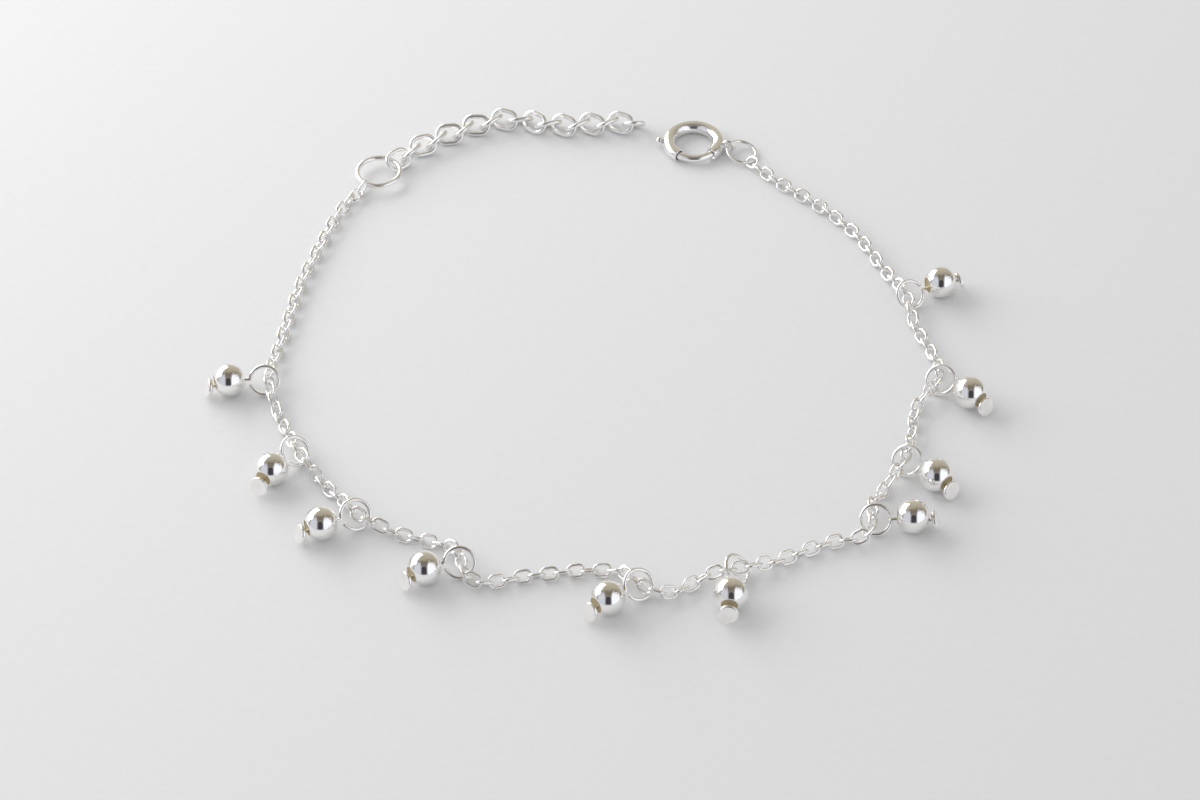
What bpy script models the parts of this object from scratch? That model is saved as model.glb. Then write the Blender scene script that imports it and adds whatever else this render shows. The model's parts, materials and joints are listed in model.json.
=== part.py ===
"""A fine silver bracelet laid open on a table: a cable chain that threads the eyes of ten ball drops,
a spring ring clasp on one end and a large ring with an extender chain on the other."""

import math
from collections import namedtuple

import bmesh
import bpy
from mathutils import Matrix, Vector

MM = 0.001

# Ball drops: a drilled ball on a headed pin whose other end is turned into an eye
BALL_DIAMETER = 3.0 * MM
BALL_BORE = 1.3 * MM
BALL_STEPS = 16
BALL_ARC_STEPS = 10
PIN_WIRE = 0.36 * MM
PIN_CLEARANCE = 0.05 * MM
EYE_DIAMETER = 2.96 * MM
EYE_OPENING = 20.0
EYE_STEPS = 19
EYE_ROLL = 43.0
EYE_TO_BALL = 3.2 * MM
NECK_LENGTH = 0.35 * MM
HEAD_DIAMETER = 1.76 * MM
HEAD_TILT = 20.0
HEAD_THICKNESS = 0.35 * MM
HEAD_GAP = 0.3 * MM
HEAD_SIDES = 16

# Main chain: a plain tube of the cable chain's outer size
CHAIN_DIAMETER = 0.86 * MM
CHAIN_STEP = 2.2
CHAIN_END_GAP = 0.3 * MM
CHAIN_START_HEADING = 237.5
CHAIN_END_HEADING = -62.0
LIFT_LEVEL = 1.4 * MM
LIFT_REACH = 2.4 * MM

# Large ring between the chain and the extender
END_RING_DIAMETER = 4.7 * MM
END_RING_WIRE = 0.52 * MM
END_RING_PLACE = (-21.7, 30.8)

# Extender chain of oval links
LINK_LENGTH = 2.9 * MM
LINK_WIDTH = 2.2 * MM
LINK_WIRE = 0.46 * MM
LINK_SLACK = 0.33 * MM
LINK_ARC_STEPS = 5
LINK_ROLL = 45.0
LINK_SEAT_GAP = 0.22 * MM
LAST_RING_DIAMETER = 2.5 * MM
LAST_RING_STEPS = 14

# Spring ring clasp: a hollow ring, a tongue that slides back into it and the thumb knob on the tongue
CLASP_PLACE = (9.3, 35.5)
CLASP_RADIUS = 2.45 * MM
CLASP_TUBE = 1.28 * MM
CLASP_BORE = 1.0 * MM
TONGUE_DIAMETER = 0.76 * MM
SHELL_ARC = (-46.0, 232.0)
TONGUE_ARC = (160.0, 318.0)
TONGUE_TRAVEL = 60.0
SOCKET_ARC = (-60.0, -39.0)
BORE_ARC = (95.0, 240.0)
KNOB_ANGLE = 175.0
KNOB_DIAMETER = 0.78 * MM
KNOB_STEM = 0.4 * MM
KNOB_REACH = 0.32 * MM
SLOT_CLEARANCE = 0.07 * MM
CLASP_STEPS = 36
SECTION_RESOLUTION = 4
SECTION_SIDES = 4 + 2 * SECTION_RESOLUTION
LOOP_ANGLE = -12.0
LOOP_DIAMETER = 1.46 * MM
LOOP_WIRE = 0.36 * MM
LOOP_HEIGHT = 0.76 * MM
LOOP_SINK = 0.35 * MM

# Jump ring between the clasp and the chain
JUMP_DIAMETER = 3.26 * MM
JUMP_WIRE = 0.36 * MM
JUMP_HEADING = -22.0

RING_STEPS = 22
LOOP_STEPS = 16
STEM_SIDES = 10
KNOB_SIDES = 12
KNOB_ROWS = 8

# One unit of the places and routes below
PLAN_UNIT = 1.0 * MM

# The chain's route on the table, as plain stops and as the drops whose eyes it threads on its way. A drop
# has its ball's place, the headings of its bent pin from the ball to the head and from the eye to the
# bend, and how far from its eye's middle the chain passes.
Stop = namedtuple("Stop", "x y")
Drop = namedtuple("Drop", "x y heading eye_heading lead")
CHAIN_ROUTE = [
    Stop(-24.9, 25.8),
    Stop(-26.7, 20.6),
    Stop(-28.3, 14.6),
    Stop(-29.3, 8.6),
    Stop(-29.9, 4.9),
    Drop(-33.7, 1.1, 197.0, 176.0, 0.4),
    Stop(-29.4, -1.4),
    Stop(-28.3, -4.2),
    Drop(-29.0, -10.1, 241.0, 228.0, 0.3),
    Stop(-24.3, -11.1),
    Stop(-22.8, -13.0),
    Drop(-24.2, -16.6, 206.0, 206.0, 0.15),
    Stop(-18.5, -16.6),
    Stop(-12.7, -18.8),
    Drop(-15.0, -21.8, 214.0, 184.0, 0.2),
    Stop(-10.9, -22.8),
    Stop(-6.4, -21.9),
    Stop(1.2, -21.3),
    Drop(0.7, -25.2, 218.0, 214.0, 0.15),
    Stop(5.4, -24.1),
    Stop(9.2, -22.0),
    Drop(11.1, -24.7, 263.0, 254.0, 0.05),
    Stop(14.3, -20.6),
    Stop(20.4, -17.8),
    Stop(22.9, -17.6),
    Drop(27.2, -15.8, -2.0, 2.0, 0.15),
    Stop(23.8, -13.8),
    Stop(25.2, -11.5),
    Drop(29.6, -10.8, -50.0, -34.0, 0.3),
    Stop(27.9, -5.4),
    Stop(28.7, -1.3),
    Drop(33.5, -0.5, -48.0, -30.0, 0.15),
    Stop(30.7, 5.2),
    Stop(29.3, 9.2),
    Drop(32.0, 14.2, 20.0, 28.0, 0.35),
    Stop(26.9, 17.1),
    Stop(24.4, 22.3),
    Stop(20.9, 26.5),
    Stop(17.3, 29.8),
]
DROPS = [stop for stop in CHAIN_ROUTE if isinstance(stop, Drop)]

# The extender's route on the table, and how far its links swing to each side along it
Turn = namedtuple("Turn", "x y swing")
EXTENDER_START = 47.0
EXTENDER_ROUTE = [
    Turn(-17.6, 34.8, 0.3),
    Turn(-15.0, 36.5, 0.35),
    Turn(-12.2, 38.0, 0.35),
    Turn(-9.3, 38.9, 0.35),
    Turn(-6.6, 38.4, 0.35),
    Turn(-3.9, 37.9, 0.4),
    Turn(-1.0, 38.1, 0.42),
    Turn(3.5, 38.4, 0.42),
]

# Looks and mesh clean-up
SILVER = (0.86, 0.85, 0.83)
BALL_ROUGHNESS = 0.06
WIRE_ROUGHNESS = 0.12
CHAIN_ROUGHNESS = 0.2
SHARP_ANGLE = 40.0
WELD_REACH = 0.0005 * MM
TURN_WELD = 0.001 * MM


def clear_scene():
    for obj in list(bpy.data.objects):
        bpy.data.objects.remove(obj, do_unlink=True)


def new_collection(name):
    collection = bpy.data.collections.new(name)
    bpy.context.scene.collection.children.link(collection)
    return collection


def silver(name, roughness):
    """The polished silver of one piece."""
    material = bpy.data.materials.new(name)
    material.use_nodes = True
    shader = material.node_tree.nodes["Principled BSDF"]
    shader.inputs["Base Color"].default_value = (*SILVER, 1.0)
    shader.inputs["Metallic"].default_value = 1.0
    shader.inputs["Roughness"].default_value = roughness
    return material


def around(heading, reach=1.0):
    """A level vector of the given reach, at a heading in degrees from +X."""
    angle = math.radians(heading)
    return Vector((math.cos(angle), math.sin(angle), 0.0)) * reach


def on_table(x, y, height):
    """A point given in plan units on the table, at a height in metres."""
    return Vector((x * PLAN_UNIT, y * PLAN_UNIT, height))


def smooth_curve(anchors, samples=24):
    """A dense smooth curve through the anchors, whose direction at each one follows its neighbours."""
    slopes = []
    for i in range(len(anchors)):
        before = anchors[max(i - 1, 0)]
        after = anchors[min(i + 1, len(anchors) - 1)]
        reach = (anchors[i] - before).length + (after - anchors[i]).length
        slopes.append((after - before) / reach)
    points = []
    for i in range(len(anchors) - 1):
        start, stop = anchors[i], anchors[i + 1]
        chord = (stop - start).length
        for step in range(samples):
            t = step / samples
            rise = t * t * (3.0 - 2.0 * t)
            lead = t * (1.0 - t) ** 2 * chord
            trail = t * t * (1.0 - t) * chord
            points.append(start.lerp(stop, rise) + slopes[i] * lead - slopes[i + 1] * trail)
    points.append(anchors[-1])
    return points


def lengths_along(points):
    """The length of the curve up to each of its points."""
    lengths = [0.0]
    for a, b in zip(points, points[1:]):
        lengths.append(lengths[-1] + (b - a).length)
    return lengths


def point_at(points, lengths, length):
    """The point of the curve, and its direction, at a length from its start."""
    i = 1
    while i < len(points) - 1 and lengths[i] < length:
        i += 1
    share = (length - lengths[i - 1]) / (lengths[i] - lengths[i - 1])
    return points[i - 1].lerp(points[i], share), (points[i] - points[i - 1]).normalized()


def link_object(name, data, matrix, roughness=WIRE_ROUGHNESS):
    """A named piece of the bracelet at a place in the row's frame."""
    obj = bpy.data.objects.new(name, data)
    pieces.objects.link(obj)
    obj.parent = frame
    obj.matrix_local = matrix
    if not data.materials:
        data.materials.append(silver(name, roughness))
    return obj


def wire_curve(name, points, diameter, resolution, closed):
    """Curve data for a wire along points, closed into a ring or open with filled ends."""
    curve = bpy.data.curves.new(name, "CURVE")
    curve.dimensions = "3D"
    curve.bevel_depth = diameter / 2
    curve.bevel_resolution = resolution
    curve.use_fill_caps = not closed
    spline = curve.splines.new("POLY")
    spline.points.add(len(points) - 1)
    for knot, point in zip(spline.points, points):
        knot.co = (*point, 1.0)
    spline.use_cyclic_u = closed
    spline.use_smooth = True
    return curve


def arc_points(radius, start, stop, steps):
    """Points of an arc about the origin, both ends included, between two angles in degrees."""
    return [around(start + (stop - start) * i / steps, radius) for i in range(steps + 1)]


def ring_points(radius, steps):
    return arc_points(radius, 0.0, 360.0, steps)[:-1]


def oval_points(length, width, arc_steps):
    """The centre line of an oval link along X: two half circles joined by straight sides."""
    radius = width / 2
    offset = Vector((length / 2 - radius, 0.0, 0.0))
    near = [p + offset for p in arc_points(radius, -90.0, 90.0, arc_steps)]
    far = [p - offset for p in arc_points(radius, 90.0, 270.0, arc_steps)]
    return near + far


def mesh_of(curve):
    """The curve's wire as a closed mesh with its caps welded on."""
    guide = bpy.data.objects.new(curve.name, curve)
    pieces.objects.link(guide)
    bpy.context.view_layer.update()
    evaluated = guide.evaluated_get(bpy.context.evaluated_depsgraph_get())
    mesh = bpy.data.meshes.new_from_object(evaluated)
    bpy.data.objects.remove(guide)
    shape = bmesh.new()
    shape.from_mesh(mesh)
    bmesh.ops.remove_doubles(shape, verts=shape.verts, dist=WELD_REACH)
    bmesh.ops.recalc_face_normals(shape, faces=shape.faces)
    shape.to_mesh(mesh)
    shape.free()
    return mesh


def tool_object(name, mesh, matrix):
    """A shape that only cuts or joins other pieces."""
    obj = bpy.data.objects.new(name, mesh)
    tools.objects.link(obj)
    obj.parent = frame
    obj.matrix_local = matrix
    obj.hide_render = True
    obj.display_type = "WIRE"
    return obj


def boolean(obj, tool, operation):
    modifier = obj.modifiers.new(f"{operation.lower()} {tool.name}", "BOOLEAN")
    modifier.operation = operation
    modifier.object = tool


def cylinder_mesh(name, radius, length, sides):
    """A cylinder along Z about the origin."""
    mesh = bpy.data.meshes.new(name)
    shape = bmesh.new()
    bmesh.ops.create_cone(
        shape, cap_ends=True, segments=sides, radius1=radius, radius2=radius, depth=length
    )
    shape.to_mesh(mesh)
    shape.free()
    return mesh


def sphere_mesh(name, radius, sides, rows):
    mesh = bpy.data.meshes.new(name)
    shape = bmesh.new()
    bmesh.ops.create_uvsphere(shape, u_segments=sides, v_segments=rows, radius=radius)
    shape.to_mesh(mesh)
    shape.free()
    return mesh


def smooth_shading(mesh):
    mesh.shade_smooth()
    mesh.set_sharp_from_angle(angle=math.radians(SHARP_ANGLE))


def pin_height():
    """How high the pins lie: each runs just above the lowest line of its ball's bore."""
    return BALL_DIAMETER / 2 - ((BALL_BORE - PIN_WIRE) / 2 - PIN_CLEARANCE)


def ball_profile():
    """The drilled ball's half section: down its outer arc, then back up the wall of its bore."""
    radius, bore = BALL_DIAMETER / 2, BALL_BORE / 2
    edge = math.asin(bore / radius)
    mesh = bpy.data.meshes.new("drop_ball")
    shape = bmesh.new()
    corners = []
    for step in range(BALL_ARC_STEPS + 1):
        angle = edge + (math.pi - 2 * edge) * step / BALL_ARC_STEPS
        place = (radius * math.sin(angle), 0.0, radius * math.cos(angle))
        corners.append(shape.verts.new(place))
    for a, b in zip(corners, corners[1:] + corners[:1]):
        shape.edges.new((a, b))
    shape.to_mesh(mesh)
    shape.free()
    mesh.materials.append(silver("drop_ball", BALL_ROUGHNESS))
    return mesh


def neck_reach():
    """How far from its eye's middle a pin bends, just outside the ball."""
    return (EYE_DIAMETER - PIN_WIRE) / 2 + NECK_LENGTH


def eye_points():
    """The centre line of the eye, turned about the origin from the bend in the pin."""
    radius = (EYE_DIAMETER - PIN_WIRE) / 2
    neck = [Vector((neck_reach(), 0.0, 0.0))]
    return neck + arc_points(radius, -EYE_OPENING / 2, EYE_OPENING - 360.0, EYE_STEPS)


def eye_frame(drop):
    """The eye's frame as seen from the ball's middle: bent aside and rolled with its open side in front."""
    side = 1 if math.cos(math.radians(drop.heading)) > 0.0 else -1
    bend = Matrix.Rotation(math.radians(drop.eye_heading - drop.heading), 4, "Z")
    roll = Matrix.Rotation(math.radians(side * EYE_ROLL), 4, "X")
    inside = Matrix.Translation((neck_reach() - EYE_TO_BALL, 0.0, 0.0))
    return inside @ bend @ Matrix.Translation((-neck_reach(), 0.0, 0.0)) @ roll


def pin_mesh(drop):
    """A drop's headed pin, which lies along X through the ball's middle and bends into its eye."""
    head_place = BALL_DIAMETER / 2 + HEAD_GAP + HEAD_THICKNESS / 2
    eye = eye_frame(drop)
    points = [Vector((head_place, 0.0, 0.0))] + [eye @ point for point in eye_points()]
    wire = tool_object("pin_wire", mesh_of(wire_curve("pin_wire", points, PIN_WIRE, 1, False)), Matrix())
    tipped = Matrix.Rotation(math.radians(90.0 - HEAD_TILT), 4, "Y")
    turned = Matrix.Translation((head_place, 0.0, 0.0)) @ tipped
    disc = cylinder_mesh("pin_head", HEAD_DIAMETER / 2, HEAD_THICKNESS, HEAD_SIDES)
    head = tool_object("pin_head", disc, turned)
    boolean(head, wire, "UNION")
    bpy.context.view_layer.update()
    evaluated = head.evaluated_get(bpy.context.evaluated_depsgraph_get())
    mesh = bpy.data.meshes.new_from_object(evaluated)
    mesh.transform(turned)
    mesh.materials.clear()
    mesh.materials.append(silver("drop_pin", WIRE_ROUGHNESS))
    smooth_shading(mesh)
    for tool in (head, wire):
        bpy.data.objects.remove(tool)
    return mesh


def eye_middle(drop):
    """Where the middle of a drop's eye lies, at the table's level."""
    bend = on_table(drop.x, drop.y, 0.0) - around(drop.heading, EYE_TO_BALL - neck_reach())
    return bend - around(drop.eye_heading, neck_reach())


def make_drops():
    """A ball on its bent pin at each place in the route."""
    ball = ball_profile()
    for number, drop in enumerate(DROPS, 1):
        turn = Matrix.Rotation(math.radians(drop.heading), 4, "Z")
        low = Matrix.Translation(on_table(drop.x, drop.y, pin_height()))
        link_object(f"drop_pin_{number:02d}", pin_mesh(drop), low @ turn)
        place = Matrix.Translation(on_table(drop.x, drop.y, BALL_DIAMETER / 2))
        along = Matrix.Rotation(math.pi / 2, 4, "Y")
        bead = link_object(f"drop_ball_{number:02d}", ball, place @ turn @ along)
        screw = bead.modifiers.new("turn", "SCREW")
        screw.steps = screw.render_steps = BALL_STEPS
        screw.use_merge_vertices = True
        screw.merge_threshold = TURN_WELD
        screw.use_smooth_shade = True


def chain_stop(stop):
    """Where the chain passes at a stop: at a drop, a little beyond the middle of its eye."""
    if isinstance(stop, Drop):
        return eye_middle(stop) - around(stop.eye_heading, stop.lead * PLAN_UNIT)
    return on_table(stop.x, stop.y, 0.0)


def chain_anchors():
    """The points that the chain follows, from just off the large ring to just off the jump ring."""
    start = around(CHAIN_START_HEADING, END_RING_DIAMETER / 2 + CHAIN_END_GAP)
    stop = around(CHAIN_END_HEADING, JUMP_DIAMETER / 2 + CHAIN_END_GAP)
    ring, jump = on_table(*END_RING_PLACE, 0.0), jump_place()
    jump.z = 0.0
    return [ring + start] + [chain_stop(entry) for entry in CHAIN_ROUTE] + [jump + stop]


def chain_points():
    """The chain's centre line, with a point in every eye that it threads, where it rises off the table."""
    lying = CHAIN_DIAMETER / 2
    anchors = chain_anchors()
    curve = smooth_curve(anchors)
    lengths = lengths_along(curve)
    samples = (len(curve) - 1) // (len(anchors) - 1)
    threaded = [lengths[i * samples] for i, stop in enumerate(CHAIN_ROUTE, 1) if stop in DROPS]
    points = []
    for start, stop in zip([0.0, *threaded], [*threaded, lengths[-1]]):
        count = max(1, round((stop - start) / (CHAIN_STEP * CHAIN_DIAMETER)))
        for i in range(count):
            length = start + (stop - start) * i / count
            nearest = min(abs(length - eye) for eye in threaded)
            away = min(max(nearest - LIFT_LEVEL, 0.0) / LIFT_REACH, 1.0)
            rise = (pin_height() - lying) * (1.0 + math.cos(math.pi * away)) / 2
            points.append(point_at(curve, lengths, length)[0] + Vector((0.0, 0.0, lying + rise)))
    return points + [curve[-1] + Vector((0.0, 0.0, lying))]


def make_main_chain():
    chain = wire_curve("main_chain", chain_points(), CHAIN_DIAMETER, 2, False)
    link_object("main_chain", chain, Matrix(), CHAIN_ROUGHNESS)


def link_height():
    """The height of a rolled link's centre when its lower leg lies on the table."""
    return (LINK_WIDTH - LINK_WIRE) / 2 * math.sin(math.radians(LINK_ROLL)) + LINK_WIRE / 2


def make_end_ring():
    """The large ring, held level by the link that passes through it."""
    radius = (END_RING_DIAMETER - END_RING_WIRE) / 2
    ring = wire_curve("end_ring", ring_points(radius, RING_STEPS), END_RING_WIRE, 2, True)
    link_object("end_ring", ring, Matrix.Translation(on_table(*END_RING_PLACE, link_height())))


def extender_contacts():
    """The points where successive links meet, swinging from side to side of the extender's route."""
    reach = LINK_LENGTH - 2 * LINK_WIRE - LINK_SLACK
    seat = END_RING_DIAMETER / 2 - END_RING_WIRE - LINK_WIRE / 2 - LINK_SEAT_GAP
    start = seat + (LINK_LENGTH - LINK_WIRE - reach) / 2
    path = [on_table(*END_RING_PLACE, 0.0) + around(EXTENDER_START, start)]
    path += [on_table(turn.x, turn.y, 0.0) for turn in EXTENDER_ROUTE]
    swings = [0.0] + [turn.swing * PLAN_UNIT for turn in EXTENDER_ROUTE]
    curve = smooth_curve(path)
    lengths = lengths_along(curve)
    samples = (len(curve) - 1) // (len(path) - 1)
    contacts, length, side = [], 0.0, 1.0
    while length < lengths[-1]:
        point, ahead = point_at(curve, lengths, length)
        along = sum(1 for value in lengths if value < length) / samples
        i = min(int(along), len(swings) - 2)
        swing = swings[i] + (swings[i + 1] - swings[i]) * min(along - i, 1.0)
        contacts.append(point + Vector((-ahead.y, ahead.x, 0.0)) * swing * side)
        length += math.sqrt(reach ** 2 - (2 * swing) ** 2)
        side = -side
    return contacts


def rolled_along(place, direction, roll):
    """The place of a link or ring whose length runs along a level direction, rolled about it."""
    heading = math.atan2(direction.y, direction.x)
    turned = Matrix.Rotation(heading, 4, "Z") @ Matrix.Rotation(math.radians(roll), 4, "X")
    return Matrix.Translation(place) @ turned


def make_extender():
    """The oval links, each rolled the other way from the last, and the small ring that ends them."""
    centre_line = oval_points(LINK_LENGTH - LINK_WIRE, LINK_WIDTH - LINK_WIRE, LINK_ARC_STEPS)
    oval = wire_curve("extender_link", centre_line, LINK_WIRE, 1, True)
    contacts = extender_contacts()
    rise = Vector((0.0, 0.0, link_height()))
    roll = LINK_ROLL
    for number, (a, b) in enumerate(zip(contacts, contacts[1:]), 1):
        link_object(f"extender_link_{number:02d}", oval, rolled_along((a + b) / 2 + rise, b - a, roll))
        roll = -roll
    radius = (LAST_RING_DIAMETER - LINK_WIRE) / 2
    ring = wire_curve("extender_last_ring", ring_points(radius, LAST_RING_STEPS), LINK_WIRE, 1, True)
    ahead = (contacts[-1] - contacts[-3]).normalized()
    overlap = (LINK_WIRE + LINK_SLACK) / 2
    height = radius * math.sin(math.radians(LINK_ROLL)) + LINK_WIRE / 2
    place = contacts[-1] + ahead * (radius - overlap) + Vector((0.0, 0.0, height))
    link_object("extender_last_ring", ring, rolled_along(place, ahead, roll))


def clasp_arc(name, arc, diameter):
    """A piece of the clasp's round section between two angles of its ring, with a flat facet down."""
    steps = max(1, round(abs(arc[1] - arc[0]) * CLASP_STEPS / 360.0))
    curve = wire_curve(name, arc_points(CLASP_RADIUS, *arc, steps), diameter, SECTION_RESOLUTION, False)
    for knot in curve.splines[0].points:
        knot.tilt = math.pi / SECTION_SIDES
    return mesh_of(curve)


def slot_mesh():
    """The curved slot that the knob's stem slides in."""
    width = KNOB_STEM + 2 * SLOT_CLEARANCE
    margin = math.degrees((width / 2) / CLASP_RADIUS)
    arc = (KNOB_ANGLE - TONGUE_TRAVEL - margin, KNOB_ANGLE + margin)
    steps = round(TONGUE_TRAVEL * CLASP_STEPS / 360.0)
    inner = arc_points(CLASP_RADIUS, *arc, steps)
    outer = arc_points(CLASP_RADIUS + CLASP_TUBE, *reversed(arc), steps)
    curve = wire_curve("clasp_slot", inner + outer, 0.0, 0, True)
    curve.dimensions = "2D"
    curve.fill_mode = "BOTH"
    curve.extrude = width / 2
    return mesh_of(curve)


def loop_place():
    """The middle of the clasp's loop, where the jump ring passes through it."""
    reach = CLASP_RADIUS + CLASP_TUBE / 2 + LOOP_DIAMETER / 2 - LOOP_SINK
    return on_table(*CLASP_PLACE, LOOP_HEIGHT) + around(LOOP_ANGLE, reach)


def make_clasp():
    """The hollow ring with its slot, socket and soldered loop, and the tongue with its knob."""
    rise = CLASP_TUBE / 2 * math.cos(math.pi / SECTION_SIDES)
    centre = Matrix.Translation(on_table(*CLASP_PLACE, rise))
    shell = link_object("clasp_ring", clasp_arc("clasp_ring", SHELL_ARC, CLASP_TUBE), centre)
    for name, arc in (("clasp_bore", BORE_ARC), ("clasp_socket", SOCKET_ARC)):
        boolean(shell, tool_object(name, clasp_arc(name, arc, CLASP_BORE), centre), "DIFFERENCE")

    boolean(shell, tool_object("clasp_slot", slot_mesh(), centre), "DIFFERENCE")
    loop_radius = (LOOP_DIAMETER - LOOP_WIRE) / 2
    loop = mesh_of(wire_curve("clasp_loop", ring_points(loop_radius, LOOP_STEPS), LOOP_WIRE, 2, True))
    upright = Matrix.Rotation(math.radians(LOOP_ANGLE), 4, "Z") @ Matrix.Rotation(math.pi / 2, 4, "X")
    boolean(shell, tool_object("clasp_loop", loop, Matrix.Translation(loop_place()) @ upright), "UNION")

    tongue = link_object("clasp_trigger", clasp_arc("clasp_trigger", TONGUE_ARC, TONGUE_DIAMETER), centre)
    knob_radius = CLASP_RADIUS + CLASP_TUBE / 2 + KNOB_REACH
    stem = cylinder_mesh("knob_stem", KNOB_STEM / 2, knob_radius - CLASP_RADIUS, STEM_SIDES)
    middle = around(KNOB_ANGLE, (knob_radius + CLASP_RADIUS) / 2)
    outward = Matrix.Rotation(math.radians(KNOB_ANGLE), 4, "Z") @ Matrix.Rotation(math.pi / 2, 4, "Y")
    boolean(tongue, tool_object("knob_stem", stem, centre @ Matrix.Translation(middle) @ outward), "UNION")
    ball = sphere_mesh("knob_ball", KNOB_DIAMETER / 2, KNOB_SIDES, KNOB_ROWS)
    tip = centre @ Matrix.Translation(around(KNOB_ANGLE, knob_radius)) @ outward
    boolean(tongue, tool_object("knob_ball", ball, tip), "UNION")


def jump_tip():
    """How far the jump ring tips from level so that its far side rests on the table."""
    return math.asin((LOOP_HEIGHT - JUMP_WIRE / 2) / (JUMP_DIAMETER - JUMP_WIRE))


def jump_place():
    """The middle of the jump ring, whose near side passes through the clasp's loop."""
    reach = (JUMP_DIAMETER - JUMP_WIRE) / 2 * math.cos(jump_tip())
    sunk = Vector((0.0, 0.0, (LOOP_HEIGHT - JUMP_WIRE / 2) / 2))
    return loop_place() + around(JUMP_HEADING, reach) - sunk


def make_jump_ring():
    turned = Matrix.Rotation(math.radians(JUMP_HEADING), 4, "Z") @ Matrix.Rotation(jump_tip(), 4, "Y")
    points = ring_points((JUMP_DIAMETER - JUMP_WIRE) / 2, RING_STEPS)
    ring = wire_curve("clasp_jump_ring", points, JUMP_WIRE, 1, True)
    link_object("clasp_jump_ring", ring, Matrix.Translation(jump_place()) @ turned)


def stand_on_origin():
    """Moves the whole bracelet so that the middle of its lowest level is the origin."""
    bpy.context.view_layer.update()
    graph = bpy.context.evaluated_depsgraph_get()
    corners = []
    for obj in pieces.objects:
        evaluated = obj.evaluated_get(graph)
        mesh = evaluated.to_mesh()
        corners += [evaluated.matrix_world @ vertex.co for vertex in mesh.vertices]
        evaluated.to_mesh_clear()
    low = Vector(map(min, zip(*corners)))
    high = Vector(map(max, zip(*corners)))
    frame.location = (-(low.x + high.x) / 2, -(low.y + high.y) / 2, -low.z)


clear_scene()
pieces = new_collection("beaded_bracelet")
tools = new_collection("cutters")
frame = bpy.data.objects.new("bracelet_frame", None)
pieces.objects.link(frame)
make_drops()
make_main_chain()
make_end_ring()
make_extender()
make_clasp()
make_jump_ring()
pieces.objects.unlink(frame)
tools.objects.link(frame)
stand_on_origin()
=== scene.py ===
import json
import math
import random
from collections import namedtuple

import bmesh
import bpy
from mathutils import Matrix, Vector


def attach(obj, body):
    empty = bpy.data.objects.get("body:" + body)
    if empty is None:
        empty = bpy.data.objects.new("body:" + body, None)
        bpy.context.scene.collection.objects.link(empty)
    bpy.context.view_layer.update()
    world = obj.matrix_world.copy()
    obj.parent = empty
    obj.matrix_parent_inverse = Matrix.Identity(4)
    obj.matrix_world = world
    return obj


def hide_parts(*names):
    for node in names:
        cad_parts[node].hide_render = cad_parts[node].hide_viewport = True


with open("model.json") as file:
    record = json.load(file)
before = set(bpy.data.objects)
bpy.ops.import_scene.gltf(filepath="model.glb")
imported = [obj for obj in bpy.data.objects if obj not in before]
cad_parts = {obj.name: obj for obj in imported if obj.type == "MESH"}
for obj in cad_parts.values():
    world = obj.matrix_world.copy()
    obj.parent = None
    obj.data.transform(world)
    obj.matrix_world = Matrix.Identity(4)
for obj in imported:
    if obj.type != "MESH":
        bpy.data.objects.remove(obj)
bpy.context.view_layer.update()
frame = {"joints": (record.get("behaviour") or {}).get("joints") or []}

MM = 0.001

# Ball drops
BALL_DIAMETER = 3.0 * MM
BALL_BORE = 1.3 * MM
BALL_LIP = 0.07 * MM
BALL_DISH_DEPTH = 1.1
AXIS_REACH = 0.001 * MM
BALL_STEPS = 88
BALL_ARC_STEPS = 44
PIN_WIRE = 0.36 * MM
PIN_CLEARANCE = 0.05 * MM
PIN_STATIONS = (0.9, 0.96)
PIN_DRIFT = 0.02 * MM
PIN_BEND_STEP = 0.04 * MM
EYE_DIAMETER = 2.96 * MM
EYE_OPENING = 20.0
EYE_CLOSING = 2.0
EYE_STEPS = 64
EYE_ROLL = 43.0
EYE_TO_BALL = 3.2 * MM
NECK_LENGTH = 0.35 * MM
HEAD_DIAMETER = 1.76 * MM
HEAD_TILT = 20.0
HEAD_THICKNESS = 0.35 * MM
HEAD_GAP = 0.3 * MM
HEAD_RIM = 0.09 * MM
HEAD_RIM_STEPS = 8
HEAD_BACK_RIMS = 1.4
HEAD_FACE_RIMS = 2.2
HEAD_DISH = 0.02 * MM
HEAD_STEPS = 64

# Main chain
CHAIN_END_GAP = 0.3 * MM
CHAIN_START_HEADING = 237.5
CHAIN_END_HEADING = -62.0
LIFT_LEVEL = 1.4 * MM
LIFT_REACH = 2.4 * MM
FINE_LENGTH = 1.8 * MM
FINE_WIDTH = 1.32 * MM
FINE_WIRE = 0.31 * MM
FINE_PITCH = 1.14 * MM
FINE_ROLL = 45.0
FINE_ROLL_PLAY = 8.0
FINE_YAW_PLAY = 5.0
FINE_FLATNESS = 0.9
FINE_SHARP = 60.0
FINE_SIDES = 10
FINE_ARC_STEPS = 16
FINE_START_TURN = 40.0
FINE_START_LINKS = 6

# Rings and extender
END_RING_DIAMETER = 4.7 * MM
END_RING_WIRE = 0.52 * MM
END_RING_PLACE = (-21.7, 30.8)
END_RING_SEAM = 28
END_RING_SIDES = 20
LINK_LENGTH = 2.9 * MM
LINK_WIDTH = 2.2 * MM
LINK_WIRE = 0.46 * MM
LINK_SLACK = 0.33 * MM
LINK_ROLL = 45.0
LINK_SEAT_GAP = 0.22 * MM
LINK_ARC_STEPS = 20
LAST_RING_DIAMETER = 2.5 * MM
LAST_RING_SEAM = 60
JUMP_DIAMETER = 3.26 * MM
JUMP_WIRE = 0.36 * MM
JUMP_HEADING = -22.0
JUMP_SEAM = 22
RING_STEPS = 96
WIRE_SIDES = 16
SEAM_GAP = 0.025 * MM
SEAM_CAP = 0.12
SEAM_TURN = 3

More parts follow.
